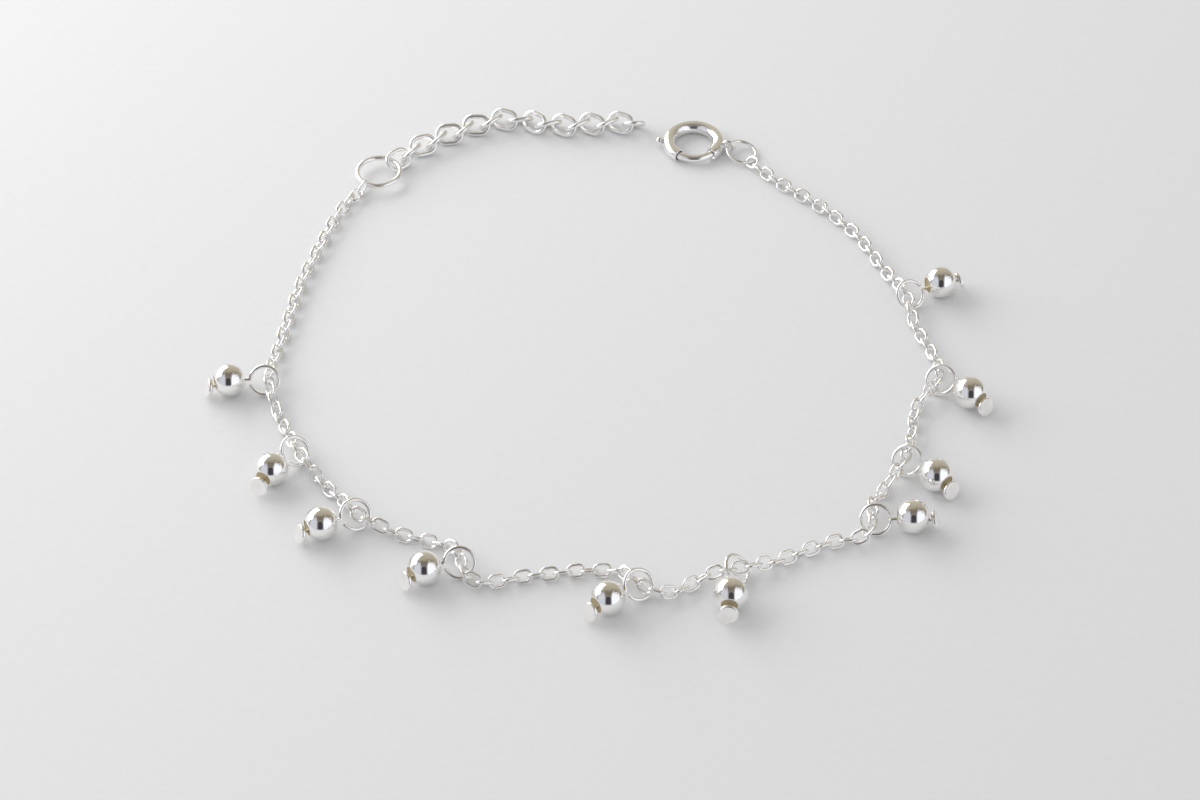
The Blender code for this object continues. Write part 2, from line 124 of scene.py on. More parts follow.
# Clasp
CLASP_PLACE = (9.3, 35.5)
CLASP_RADIUS = 2.45 * MM
CLASP_TUBE = 1.28 * MM
CLASP_FACETS = 12
SHELL_CAP = 0.06
CLASP_BORE = 1.0 * MM
TONGUE_DIAMETER = 0.76 * MM
SHELL_ARC = (-46.0, 232.0)
TONGUE_ARC = (160.0, 318.0)
TONGUE_CAP = 0.5
TONGUE_TRAVEL = 60.0
SOCKET_ARC = (-60.0, -39.0)
BORE_ARC = (95.0, 240.0)
KNOB_ANGLE = 175.0
KNOB_DIAMETER = 0.78 * MM
KNOB_STEM = 0.4 * MM
KNOB_REACH = 0.32 * MM
KNOB_SIDES = 36
KNOB_ROWS = 24
STEM_SIDES = 20
STEM_STEPS = 4
SLOT_CLEARANCE = 0.07 * MM
SLOT_STEPS = 30
LOOP_ANGLE = -12.0
LOOP_DIAMETER = 1.46 * MM
LOOP_WIRE = 0.36 * MM
LOOP_HEIGHT = 0.76 * MM
LOOP_SINK = 0.35 * MM
LOOP_STEPS = 64
SOLDER_SINK = 0.02 * MM
SOLDER_REACH = 0.34 * MM
SOLDER_RISE = 0.4 * MM
SOLDER_SIDES = 24
SOLDER_ROWS = 16
CLASP_SIDES = 40
BORE_SIDES = 32
CLASP_STEPS = 180

# One unit of the places and routes below
PLAN_UNIT = 1.0 * MM

# The chain's route on the table, as plain stops and as the drops whose eyes it threads on its way.
# A drop has its ball's place, the headings of its bent pin from the ball to the head and from the eye
# to the bend, and how far from its eye's middle the chain passes.
Stop = namedtuple("Stop", "x y")
Drop = namedtuple("Drop", "x y heading eye_heading lead")
CHAIN_ROUTE = [
    Stop(-24.9, 25.8),
    Stop(-26.7, 20.6),
    Stop(-28.3, 14.6),
    Stop(-29.3, 8.6),
    Stop(-29.9, 4.9),
    Drop(-33.7, 1.1, 197.0, 176.0, 0.4),
    Stop(-29.4, -1.4),
    Stop(-28.3, -4.2),
    Drop(-29.0, -10.1, 241.0, 228.0, 0.3),
    Stop(-24.3, -11.1),
    Stop(-22.8, -13.0),
    Drop(-24.2, -16.6, 206.0, 206.0, 0.15),
    Stop(-18.5, -16.6),
    Stop(-12.7, -18.8),
    Drop(-15.0, -21.8, 214.0, 184.0, 0.2),
    Stop(-10.9, -22.8),
    Stop(-6.4, -21.9),
    Stop(1.2, -21.3),
    Drop(0.7, -25.2, 218.0, 214.0, 0.15),
    Stop(5.4, -24.1),
    Stop(9.2, -22.0),
    Drop(11.1, -24.7, 263.0, 254.0, 0.05),
    Stop(14.3, -20.6),
    Stop(20.4, -17.8),
    Stop(22.9, -17.6),
    Drop(27.2, -15.8, -2.0, 2.0, 0.15),
    Stop(23.8, -13.8),
    Stop(25.2, -11.5),
    Drop(29.6, -10.8, -50.0, -34.0, 0.3),
    Stop(27.9, -5.4),
    Stop(28.7, -1.3),
    Drop(33.5, -0.5, -48.0, -30.0, 0.15),
    Stop(30.7, 5.2),
    Stop(29.3, 9.2),
    Drop(32.0, 14.2, 20.0, 28.0, 0.35),
    Stop(26.9, 17.1),
    Stop(24.4, 22.3),
    Stop(20.9, 26.5),
    Stop(17.3, 29.8),
]
DROPS = [stop for stop in CHAIN_ROUTE if isinstance(stop, Drop)]

# The extender's route on the table, and how far its links swing to each side along it
Turn = namedtuple("Turn", "x y swing")
EXTENDER_START = 47.0
EXTENDER_ROUTE = [
    Turn(-17.6, 34.8, 0.3),
    Turn(-15.0, 36.5, 0.35),
    Turn(-12.2, 38.0, 0.35),
    Turn(-9.3, 38.9, 0.35),
    Turn(-6.6, 38.4, 0.35),
    Turn(-3.9, 37.9, 0.4),
    Turn(-1.0, 38.1, 0.42),
    Turn(3.5, 38.4, 0.42),
]

# Camera of the photograph
CAMERA_LENS = 90.0
CAMERA_SENSOR = 36.0
CAMERA_ELEVATION = 45.0
CAMERA_DISTANCE = 0.273
CAMERA_NEAR = 0.005

# Floor, room and key light, whose azimuth is 0 at the back and -90 at the left
FLOOR_REACH = 2.5
FLOOR_DROP = 0.02 * MM
FLOOR_ROUGHNESS = 0.75
FLOOR_GRAIN = 1400.0
FLOOR_TONES = (0.79, 0.83)
FLOOR_BUMP = 0.03 * MM
ROOM_TONE = (0.93, 0.93, 0.94)
ROOM_STRENGTH = 0.7
KEY_AZIMUTH = -54.0
KEY_ELEVATION = 26.0
KEY_DISTANCE = 0.36
KEY_SIZE = (0.48, 0.24)
KEY_ENERGY = 1.12

dice = random.Random(5)
JOINT = frame["joints"][0]["pos_m"]
ROW = Matrix.Translation((
    JOINT[0] - CLASP_PLACE[0] * PLAN_UNIT,
    JOINT[1] - CLASP_PLACE[1] * PLAN_UNIT,
    0.0,
))


# Places shared with the frame

def around(heading, reach=1.0):
    """A level vector of the given reach, at a heading in degrees from +X."""
    angle = math.radians(heading)
    return Vector((math.cos(angle), math.sin(angle), 0.0)) * reach


def on_table(x, y, height):
    return Vector((x * PLAN_UNIT, y * PLAN_UNIT, height))


def smooth_curve(anchors, samples=24):
    """A dense smooth curve through the anchors, whose direction at each one follows its neighbours."""
    slopes = []
    for i in range(len(anchors)):
        before = anchors[max(i - 1, 0)]
        after = anchors[min(i + 1, len(anchors) - 1)]
        reach = (anchors[i] - before).length + (after - anchors[i]).length
        slopes.append((after - before) / reach)
    points = []
    for i in range(len(anchors) - 1):
        start, stop = anchors[i], anchors[i + 1]
        chord = (stop - start).length
        for step in range(samples):
            t = step / samples
            rise = t * t * (3.0 - 2.0 * t)
            lead = t * (1.0 - t) ** 2 * chord
            trail = t * t * (1.0 - t) * chord
            points.append(start.lerp(stop, rise) + slopes[i] * lead - slopes[i + 1] * trail)
    points.append(anchors[-1])
    return points


def lengths_along(points):
    lengths = [0.0]
    for a, b in zip(points, points[1:]):
        lengths.append(lengths[-1] + (b - a).length)
    return lengths


def point_at(points, lengths, length):
    """The point of the curve, and its direction, at a length from its start."""
    i = 1
    while i < len(points) - 1 and lengths[i] < length:
        i += 1
    share = (length - lengths[i - 1]) / (lengths[i] - lengths[i - 1])
    return points[i - 1].lerp(points[i], share), (points[i] - points[i - 1]).normalized()


def arc_points(radius, start, stop, steps):
    return [around(start + (stop - start) * i / steps, radius) for i in range(steps + 1)]


def oval_points(length, width, arc_steps):
    """The centre line of an oval link along X, which starts and ends at the middle of a side."""
    radius = width / 2
    offset = Vector((length / 2 - radius, 0.0, 0.0))
    near = [p + offset for p in arc_points(radius, -90.0, 90.0, arc_steps)]
    far = [p - offset for p in arc_points(radius, 90.0, 270.0, arc_steps)]
    return near + far


def pin_height():
    return BALL_DIAMETER / 2 - ((BALL_BORE - PIN_WIRE) / 2 - PIN_CLEARANCE)


# Mesh making

def add_tube(shape, points, radius, sides, closed=False, flat=1.0, cap=0.3):
    """Sweeps a round or flattened section along the points, with domed ends on an open one."""
    count = len(points)
    ahead = []
    for i in range(count):
        before = points[i - 1] if closed or i else points[i]
        after = points[(i + 1) % count] if closed or i < count - 1 else points[i]
        ahead.append((after - before).normalized())
    side = ahead[0].orthogonal().normalized()
    if abs(ahead[0].z) < 0.99:
        side = Vector((0.0, 0.0, 1.0)).cross(ahead[0]).normalized()
    sides_along = [side]
    for a, b in zip(ahead, ahead[1:]):
        side = a.rotation_difference(b) @ side
        sides_along.append(side)
    drift = 0.0
    if closed:
        back = ahead[-1].rotation_difference(ahead[0]) @ side
        drift = back.angle(sides_along[0])
        if back.cross(sides_along[0]).dot(ahead[0]) < 0.0:
            drift = -drift
    rings = []
    stations = [(points[i], ahead[i], sides_along[i], drift * i / count, 1.0) for i in range(count)]
    if not closed:
        domes = [(0.5, 0.87), (0.85, 0.5)]
        lead = [(points[0] - ahead[0] * radius * cap * out, ahead[0], sides_along[0], 0.0, wide)
                for out, wide in reversed(domes)]
        tail = [(points[-1] + ahead[-1] * radius * cap * out, ahead[-1], sides_along[-1], 0.0, wide)
                for out, wide in domes]
        stations = lead + stations + tail
    for place, forward, across, turn, wide in stations:
        up = forward.cross(across)
        ring = []
        for k in range(sides):
            angle = 2 * math.pi * k / sides + turn
            reach = across * math.cos(angle) + up * math.sin(angle) * flat
            ring.append(shape.verts.new(place + reach * radius * wide))
        rings.append(ring)
    pairs = list(zip(rings, rings[1:]))
    if closed:
        pairs.append((rings[-1], rings[0]))
    for a, b in pairs:
        for k in range(sides):
            m = (k + 1) % sides
            shape.faces.new((a[k], a[m], b[m], b[k]))
    if not closed:
        shape.faces.new(list(reversed(rings[0])))
        shape.faces.new(rings[-1])


def add_turned(shape, profile, steps, matrix):
    """Turns a closed profile of (radius, height) pairs about Z."""
    rings = []
    for radius, height in profile:
        rings.append([
            shape.verts.new(matrix @ (around(360.0 * k / steps, radius) + Vector((0.0, 0.0, height))))
            for k in range(steps)
        ])
    for a, b in zip(rings, rings[1:] + rings[:1]):
        for k in range(steps):
            m = (k + 1) % steps
            shape.faces.new((a[k], a[m], b[m], b[k]))


def piece(name, shape, material, body, nodes, sharp=38.0):
    """A finished piece of the bracelet that stands for CAD nodes and rides on their body."""
    mesh = bpy.data.meshes.new(name)
    bmesh.ops.recalc_face_normals(shape, faces=shape.faces)
    shape.to_mesh(mesh)
    shape.free()
    mesh.shade_smooth()
    mesh.set_sharp_from_angle(angle=math.radians(sharp))
    obj = bpy.data.objects.new(name, mesh)
    bpy.context.scene.collection.objects.link(obj)
    obj.matrix_world = ROW
    mesh.materials.append(material)
    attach(obj, body)
    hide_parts(*nodes)
    return obj


# Shader groups: each puts out only a colour, a value or a normal

def node(tree, kind, **settings):
    made = tree.nodes.new(kind)
    for key, value in settings.items():
        if key in made.inputs:
            made.inputs[key].default_value = value
        else:
            setattr(made, key, value)
    return made


def group_tree(name, inputs, outputs):
    tree = bpy.data.node_groups.new(name, "ShaderNodeTree")
    for label, kind, value in inputs:
        socket = tree.interface.new_socket(label, in_out="INPUT", socket_type=kind)
        socket.default_value = value
    for label, kind in outputs:
        tree.interface.new_socket(label, in_out="OUTPUT", socket_type=kind)
    return tree, tree.nodes.new("NodeGroupInput"), tree.nodes.new("NodeGroupOutput")


def fine_marks_group():
    """Fine polishing lines and small knocks as a normal, for a metal surface."""
    tree, given, out = group_tree(
        "Fine marks",
        [("Line Scale", "NodeSocketFloat", 2600.0), ("Knock Scale", "NodeSocketFloat", 900.0),
         ("Lines", "NodeSocketFloat", 0.05), ("Knocks", "NodeSocketFloat", 0.1),
         ("Depth", "NodeSocketFloat", 0.00001)],
        [("Normal", "NodeSocketVector")],
    )
    place = node(tree, "ShaderNodeTexCoord")
    stretch = node(tree, "ShaderNodeMapping")
    stretch.inputs["Scale"].default_value = (1.0, 0.12, 1.0)
    stretch.inputs["Rotation"].default_value = (0.3, 0.5, 0.9)
    lines = node(tree, "ShaderNodeTexNoise", Detail=3.0, Roughness=0.6)
    knocks = node(tree, "ShaderNodeTexNoise", Detail=1.5, Roughness=0.4)
    line_bump = node(tree, "ShaderNodeBump")
    knock_bump = node(tree, "ShaderNodeBump")
    link = tree.links.new
    link(place.outputs["Object"], stretch.inputs["Vector"])
    link(stretch.outputs["Vector"], lines.inputs["Vector"])
    link(place.outputs["Object"], knocks.inputs["Vector"])
    link(given.outputs["Line Scale"], lines.inputs["Scale"])
    link(given.outputs["Knock Scale"], knocks.inputs["Scale"])
    link(lines.outputs["Fac"], line_bump.inputs["Height"])
    link(knocks.outputs["Fac"], knock_bump.inputs["Height"])
    link(given.outputs["Lines"], line_bump.inputs["Strength"])
    link(given.outputs["Knocks"], knock_bump.inputs["Strength"])
    link(given.outputs["Depth"], line_bump.inputs["Distance"])
    link(given.outputs["Depth"], knock_bump.inputs["Distance"])
    link(knock_bump.outputs["Normal"], line_bump.inputs["Normal"])
    link(line_bump.outputs["Normal"], out.inputs["Normal"])
    return tree


def handling_group():
    """A worn mask from 0, freshly polished, to 1, dulled by handling, and the roughness it gives."""
    tree, given, out = group_tree(
        "Handling",
        [("Scale", "NodeSocketFloat", 700.0), ("Polished", "NodeSocketFloat", 0.04),
         ("Dulled", "NodeSocketFloat", 0.16)],
        [("Mask", "NodeSocketFloat"), ("Roughness", "NodeSocketFloat")],
    )
    place = node(tree, "ShaderNodeTexCoord")
    cloud = node(tree, "ShaderNodeTexNoise", Detail=4.0, Roughness=0.62)
    spread = node(tree, "ShaderNodeMapRange")
    spread.inputs["From Min"].default_value = 0.42
    spread.inputs["From Max"].default_value = 0.72
    rough = node(tree, "ShaderNodeMapRange")
    link = tree.links.new
    link(place.outputs["Object"], cloud.inputs["Vector"])
    link(given.outputs["Scale"], cloud.inputs["Scale"])
    link(cloud.outputs["Fac"], spread.inputs["Value"])
    link(spread.outputs["Result"], rough.inputs["Value"])
    link(given.outputs["Polished"], rough.inputs["To Min"])
    link(given.outputs["Dulled"], rough.inputs["To Max"])
    link(spread.outputs["Result"], out.inputs["Mask"])
    link(rough.outputs["Result"], out.inputs["Roughness"])
    return tree


def tone_group():
    """The silver's colour: clean where polished, a warmer grey where the mask says dulled."""
    tree, given, out = group_tree(
        "Silver tone",
        [("Mask", "NodeSocketFloat", 0.0), ("Clean", "NodeSocketColor", (0.95, 0.945, 0.93, 1.0)),
         ("Warm", "NodeSocketColor", (0.84, 0.81, 0.75, 1.0)), ("Amount", "NodeSocketFloat", 0.5)],
        [("Color", "NodeSocketColor")],
    )
    share = node(tree, "ShaderNodeMath", operation="MULTIPLY")
    mix = node(tree, "ShaderNodeMix", data_type="RGBA")
    link = tree.links.new
    link(given.outputs["Mask"], share.inputs[0])
    link(given.outputs["Amount"], share.inputs[1])
    link(share.outputs[0], mix.inputs[0])
    link(given.outputs["Clean"], mix.inputs[6])
    link(given.outputs["Warm"], mix.inputs[7])
    link(mix.outputs[2], out.inputs["Color"])
    return tree


FINE_MARKS = fine_marks_group()
HANDLING = handling_group()
TONE = tone_group()

Finish = namedtuple("Finish", "metal polished dulled lines knocks line_scale knock_scale warm tint")


def silver(name, finish):
    """Polished silver with its own marks, dulled patches and tone."""
    material = bpy.data.materials.new(name)
    material.use_nodes = True
    tree = material.node_tree
    shader = tree.nodes["Principled BSDF"]
    shader.inputs["Metallic"].default_value = finish.metal
    marks = node(tree, "ShaderNodeGroup", node_tree=FINE_MARKS)
    marks.inputs["Lines"].default_value = finish.lines
    marks.inputs["Knocks"].default_value = finish.knocks
    marks.inputs["Line Scale"].default_value = finish.line_scale
    marks.inputs["Knock Scale"].default_value = finish.knock_scale
    worn = node(tree, "ShaderNodeGroup", node_tree=HANDLING)
    worn.inputs["Polished"].default_value = finish.polished
    worn.inputs["Dulled"].default_value = finish.dulled
    worn.inputs["Scale"].default_value = finish.knock_scale * WEAR_SCALE
    tone = node(tree, "ShaderNodeGroup", node_tree=TONE)
    tone.inputs["Amount"].default_value = finish.warm
    tone.inputs["Clean"].default_value = (*finish.tint, 1.0)
    link = tree.links.new
    link(marks.outputs["Normal"], shader.inputs["Normal"])
    link(worn.outputs["Roughness"], shader.inputs["Roughness"])
    link(worn.outputs["Mask"], tone.inputs["Mask"])
    link(tone.outputs["Color"], shader.inputs["Base Color"])
    return material


WEAR_SCALE = 0.6
BRIGHT = (0.985, 0.98, 0.97)
# Painted shade: a deep golden brown that stands for the shade inside each ball's hole
BORE_PAINTED_SHADE = (0.5, 0.4, 0.21)
BALL_SILVER = silver("Ball silver", Finish(1.0, 0.03, 0.1, 0.04, 0.1, 2600.0, 700.0, 0.4, BRIGHT))
# The bore's finish paints the shade of the hole's recess into its brown colour
BORE_SHADE_SILVER = silver("Bore painted shade", Finish(0.6, 0.3, 0.45, 0.1, 0.2, 3200.0, 1500.0, 0.3, BORE_PAINTED_SHADE))
PIN_SILVER = silver("Pin silver", Finish(0.92, 0.06, 0.2, 0.1, 0.2, 3200.0, 1500.0, 0.5, BRIGHT))
CHAIN_SILVER = silver("Chain silver", Finish(0.86, 0.17, 0.3, 0.1, 0.3, 4000.0, 2200.0, 0.4, BRIGHT))
LINK_SILVER = silver("Link silver", Finish(0.84, 0.18, 0.3, 0.1, 0.22, 3200.0, 1300.0, 0.45, BRIGHT))
CLASP_SILVER = silver("Clasp silver", Finish(0.9, 0.08, 0.18, 0.07, 0.16, 2800.0, 1000.0, 0.5, BRIGHT))
TRIGGER_SILVER = silver(
    "Trigger silver", Finish(0.9, 0.07, 0.2, 0.12, 0.16, 3000.0, 1200.0, 0.6, BRIGHT)
)


# Drops

def ball_shape():
    """The ball, whose hole shows at each end as a shallow dull dish around the pin, later given painted
    shade.
    """
    radius, bore, lip = BALL_DIAMETER / 2, BALL_BORE / 2, BALL_LIP
    edge = math.asin((bore + lip) / radius)
    profile = []
    for step in range(BALL_ARC_STEPS + 1):
        angle = edge + (math.pi - 2 * edge) * step / BALL_ARC_STEPS
        profile.append((radius * math.sin(angle), radius * math.cos(angle)))
    mouth = radius * math.cos(edge)
    dish = [
        (bore + lip * 0.3, lip * 0.05 - mouth),
        (bore, lip * 0.6 - mouth),
        (bore * 0.6, lip - mouth),
        (AXIS_REACH, lip * BALL_DISH_DEPTH - mouth),
    ]
    return profile + dish + [(r, -h) for r, h in reversed(dish)]


def paint_bore_shade(ball):
    """Paints the dishes at the ends of a ball's hole a duller golden brown, as painted shade of the
    hole's recess.
    """
    ball.data.materials.append(BORE_SHADE_SILVER)
    for face in ball.data.polygons:
        if face.index // BALL_STEPS >= BALL_ARC_STEPS:
            face.material_index = 1


def neck_reach():
    """How far from its eye's middle a pin bends, just outside the ball."""
    return (EYE_DIAMETER - PIN_WIRE) / 2 + NECK_LENGTH


def eye_frame(drop):
    """The eye's frame from the ball's middle: bent aside and rolled with its open side in front."""
    side = 1 if math.cos(math.radians(drop.heading)) > 0.0 else -1
    bend = Matrix.Rotation(math.radians(drop.eye_heading - drop.heading), 4, "Z")
    roll = Matrix.Rotation(math.radians(side * EYE_ROLL), 4, "X")
    inside = Matrix.Translation((neck_reach() - EYE_TO_BALL, 0.0, 0.0))
    return inside @ bend @ Matrix.Translation((-neck_reach(), 0.0, 0.0)) @ roll


def eye_middle(drop):
    """Where the middle of a drop's eye lies, at the table's level."""
    bend = on_table(drop.x, drop.y, 0.0) - around(drop.heading, EYE_TO_BALL - neck_reach())
    return bend - around(drop.eye_heading, neck_reach())


def head_shape():
    """The pin's head: a flat disc with a rolled edge, whose flats end some rims in from the outside."""
    outer, half = HEAD_DIAMETER / 2, HEAD_THICKNESS / 2
    disc = [(AXIS_REACH, -half), (outer - HEAD_RIM * HEAD_BACK_RIMS, -half)]
    for k in range(HEAD_RIM_STEPS + 1):
        angle = -math.pi / 2 + math.pi * k / HEAD_RIM_STEPS
        disc.append((outer - HEAD_RIM + HEAD_RIM * math.cos(angle), math.sin(angle) * half))
    return disc + [(outer - HEAD_RIM * HEAD_FACE_RIMS, half), (AXIS_REACH, half - HEAD_DISH)]


def eye_points():
    """The eye's centre line and the start of the shank, from its cut end to the bend in the pin."""
    radius = (EYE_DIAMETER - PIN_WIRE) / 2
    turned = arc_points(radius, EYE_OPENING - 360.0, -EYE_CLOSING, EYE_STEPS)
    near, far = (Vector((neck_reach() * share, 0.0, 0.0)) for share in PIN_STATIONS)
    near.y = -PIN_DRIFT
    return turned + [near, far]


def make_drops():
    profile, disc = ball_shape(), head_shape()
    head = BALL_DIAMETER / 2 + HEAD_GAP + HEAD_THICKNESS / 2
    bend = neck_reach() - EYE_TO_BALL
    shank = [Vector((x, 0.0, 0.0)) for x in (bend + PIN_BEND_STEP, bend / 2, 0.0, head)]
    along = Matrix.Rotation(math.pi / 2, 4, "Y")
    tilt = Matrix.Rotation(math.radians(90.0 - HEAD_TILT), 4, "Y")
    tipped = Matrix.Translation((head, 0.0, 0.0)) @ tilt
    for number, drop in enumerate(DROPS, 1):
        turn = Matrix.Rotation(math.radians(drop.heading), 4, "Z")
        low = Matrix.Translation(on_table(drop.x, drop.y, pin_height())) @ turn
        eye = eye_frame(drop)

        shape = bmesh.new()
        place = Matrix.Translation(on_table(drop.x, drop.y, BALL_DIAMETER / 2))
        add_turned(shape, profile, BALL_STEPS, place @ turn @ along)
        node_name = f"drop_ball_{number:02d}"
        ball = piece(f"ball_{number:02d}", shape, BALL_SILVER, "bracelet", [node_name])
        paint_bore_shade(ball)

        shape = bmesh.new()
        wire = [low @ eye @ p for p in eye_points()] + [low @ p for p in shank]
        add_tube(shape, wire, PIN_WIRE / 2, WIRE_SIDES)
        add_turned(shape, disc, HEAD_STEPS, low @ tipped)
        node_name = f"drop_pin_{number:02d}"
        piece(f"pin_{number:02d}", shape, PIN_SILVER, "bracelet", [node_name])


# Main chain of fine links

def chain_stop(stop):
    """Where the chain passes at a stop: at a drop, a little beyond the middle of its eye."""
    if isinstance(stop, Drop):
        return eye_middle(stop) - around(stop.eye_heading, stop.lead * PLAN_UNIT)
    return on_table(stop.x, stop.y, 0.0)


def chain_curve():
    """The plan curve of the chain with its length at every eye that it threads."""
    ring, jump = on_table(*END_RING_PLACE, 0.0), jump_place()
    jump.z = 0.0
    anchors = [ring + around(CHAIN_START_HEADING, END_RING_DIAMETER / 2 + CHAIN_END_GAP)]
    anchors += [chain_stop(stop) for stop in CHAIN_ROUTE]
    anchors.append(jump + around(CHAIN_END_HEADING, JUMP_DIAMETER / 2 + CHAIN_END_GAP))
    curve = smooth_curve(anchors)
    lengths = lengths_along(curve)
    samples = (len(curve) - 1) // (len(anchors) - 1)
    threaded = [lengths[i * samples] for i, stop in enumerate(CHAIN_ROUTE, 1) if stop in DROPS]
    return curve, lengths, threaded


def chain_rise(length, threaded):
    """How far the chain is lifted, from 0 on the table to 1 in the middle of a drop's eye."""
    nearest = min(abs(length - eye) for eye in threaded)
    away = min(max(nearest - LIFT_LEVEL, 0.0) / LIFT_REACH, 1.0)
    return (1.0 + math.cos(math.pi * away)) / 2


def link_matrix(a, b, roll):
    """The place of a link that spans two contact points, rolled about the line between them."""
    ahead = (b - a).normalized()
    across = Vector((0.0, 0.0, 1.0)).cross(ahead).normalized()
    up = ahead.cross(across)
    basis = Matrix((ahead, across, up)).transposed().to_4x4()
    return Matrix.Translation((a + b) / 2) @ basis @ Matrix.Rotation(math.radians(roll), 4, "X")


def jump_tip():
    """How far the jump ring tips from level so that its far side rests on the table."""
    return math.asin((LOOP_HEIGHT - JUMP_WIRE / 2) / (JUMP_DIAMETER - JUMP_WIRE))


def jump_place():
    """The middle of the jump ring, whose near side passes through the clasp's loop."""
    reach = (JUMP_DIAMETER - JUMP_WIRE) / 2 * math.cos(jump_tip())
    sunk = Vector((0.0, 0.0, (LOOP_HEIGHT - JUMP_WIRE / 2) / 2))
    return loop_place() + around(JUMP_HEADING, reach) - sunk


def jump_ring_matrix():
    turned = Matrix.Rotation(math.radians(JUMP_HEADING), 4, "Z") @ Matrix.Rotation(jump_tip(), 4, "Y")
    return Matrix.Translation(jump_place()) @ turned


def loop_place():
    reach = CLASP_RADIUS + CLASP_TUBE / 2 + LOOP_DIAMETER / 2 - LOOP_SINK
    return on_table(*CLASP_PLACE, LOOP_HEIGHT) + around(LOOP_ANGLE, reach)


def ring_contact(centre, radius, towards):
    """The point of a ring's wire that is nearest to another point, in the ring's own plane."""
    local = centre.inverted() @ towards
    local.z = 0.0
    return centre @ (local.normalized() * radius)


def chain_contacts():
    """The points where successive fine links meet, from the large ring to the jump ring."""
    curve, lengths, threaded = chain_curve()
    lying = (FINE_WIDTH - FINE_WIRE) / 2 * math.sin(math.radians(FINE_ROLL)) + FINE_WIRE / 2
    ring = Matrix.Translation(on_table(*END_RING_PLACE, link_height()))
    start = ring_contact(ring, (END_RING_DIAMETER - END_RING_WIRE) / 2, curve[0])
    stop = ring_contact(jump_ring_matrix(), (JUMP_DIAMETER - JUMP_WIRE) / 2, curve[-1])
    path = [start]
    for point, length in zip(curve, lengths):
        raised = point.copy()
        raised.z = lying + (pin_height() - lying) * chain_rise(length, threaded)
        path.append(raised)
    path.append(stop)
    total = lengths_along(path)
    count = round(total[-1] / FINE_PITCH)
    return [point_at(path, total, total[-1] * i / count)[0] for i in range(count + 1)]


def make_main_chain():
    shape = bmesh.new()
    contacts = chain_contacts()
    oval = oval_points(FINE_LENGTH - FINE_WIRE, FINE_WIDTH - FINE_WIRE, FINE_ARC_STEPS)
    for number, (a, b) in enumerate(zip(contacts, contacts[1:])):
        lead = max(0.0, 1.0 - number / FINE_START_LINKS)
        roll = FINE_ROLL * (1 if number % 2 == 0 else -1) + FINE_START_TURN * lead
        roll += dice.uniform(-FINE_ROLL_PLAY, FINE_ROLL_PLAY)
        yaw = Matrix.Rotation(math.radians(dice.uniform(-FINE_YAW_PLAY, FINE_YAW_PLAY)), 4, "Z")
        place = link_matrix(a, b, roll) @ yaw
        points = [place @ p for p in oval]
        rise = Vector((0.0, 0.0, max(0.0, FINE_WIRE / 2 - min(p.z for p in points))))
        points = [p + rise for p in points]
        add_tube(shape, points, FINE_WIRE / 2, FINE_SIDES, closed=True, flat=FINE_FLATNESS)
    piece("fine_chain", shape, CHAIN_SILVER, "bracelet", ["main_chain"],
          sharp=FINE_SHARP)


# Rings and extender

def link_height():
    return (LINK_WIDTH - LINK_WIRE) / 2 * math.sin(math.radians(LINK_ROLL)) + LINK_WIRE / 2


def seamed(points, start):
    """A closed path opened at one of its points, with a fine butted seam there."""
    turned = points[start:] + points[:start]
    first, last = turned[0], turned[-1]
    return turned + [last.lerp(first, 1.0 - SEAM_GAP / (first - last).length)]


def make_end_ring():
    radius = (END_RING_DIAMETER - END_RING_WIRE) / 2
    centre = Matrix.Translation(on_table(*END_RING_PLACE, link_height()))
    points = [centre @ p for p in arc_points(radius, 0.0, 360.0, RING_STEPS)[:-1]]
    shape = bmesh.new()
    add_tube(shape, seamed(points, END_RING_SEAM), END_RING_WIRE / 2, END_RING_SIDES, cap=SEAM_CAP)
    piece("large_ring", shape, LINK_SILVER, "bracelet", ["end_ring"])


def extender_contacts():
    """The points where successive links meet, swinging from side to side of the extender's route."""
    reach = LINK_LENGTH - 2 * LINK_WIRE - LINK_SLACK
    seat = END_RING_DIAMETER / 2 - END_RING_WIRE - LINK_WIRE / 2 - LINK_SEAT_GAP
    start = seat + (LINK_LENGTH - LINK_WIRE - reach) / 2
    path = [on_table(*END_RING_PLACE, 0.0) + around(EXTENDER_START, start)]
    path += [on_table(turn.x, turn.y, 0.0) for turn in EXTENDER_ROUTE]
    swings = [0.0] + [turn.swing * PLAN_UNIT for turn in EXTENDER_ROUTE]
    curve = smooth_curve(path)
    lengths = lengths_along(curve)
    samples = (len(curve) - 1) // (len(path) - 1)
    contacts, length, side = [], 0.0, 1.0
    while length < lengths[-1]:
        point, ahead = point_at(curve, lengths, length)
        along = sum(1 for value in lengths if value < length) / samples
        i = min(int(along), len(swings) - 2)
        swing = swings[i] + (swings[i + 1] - swings[i]) * min(along - i, 1.0)
        contacts.append(point + Vector((-ahead.y, ahead.x, 0.0)) * swing * side)
        length += math.sqrt(reach ** 2 - (2 * swing) ** 2)
        side = -side
    return contacts


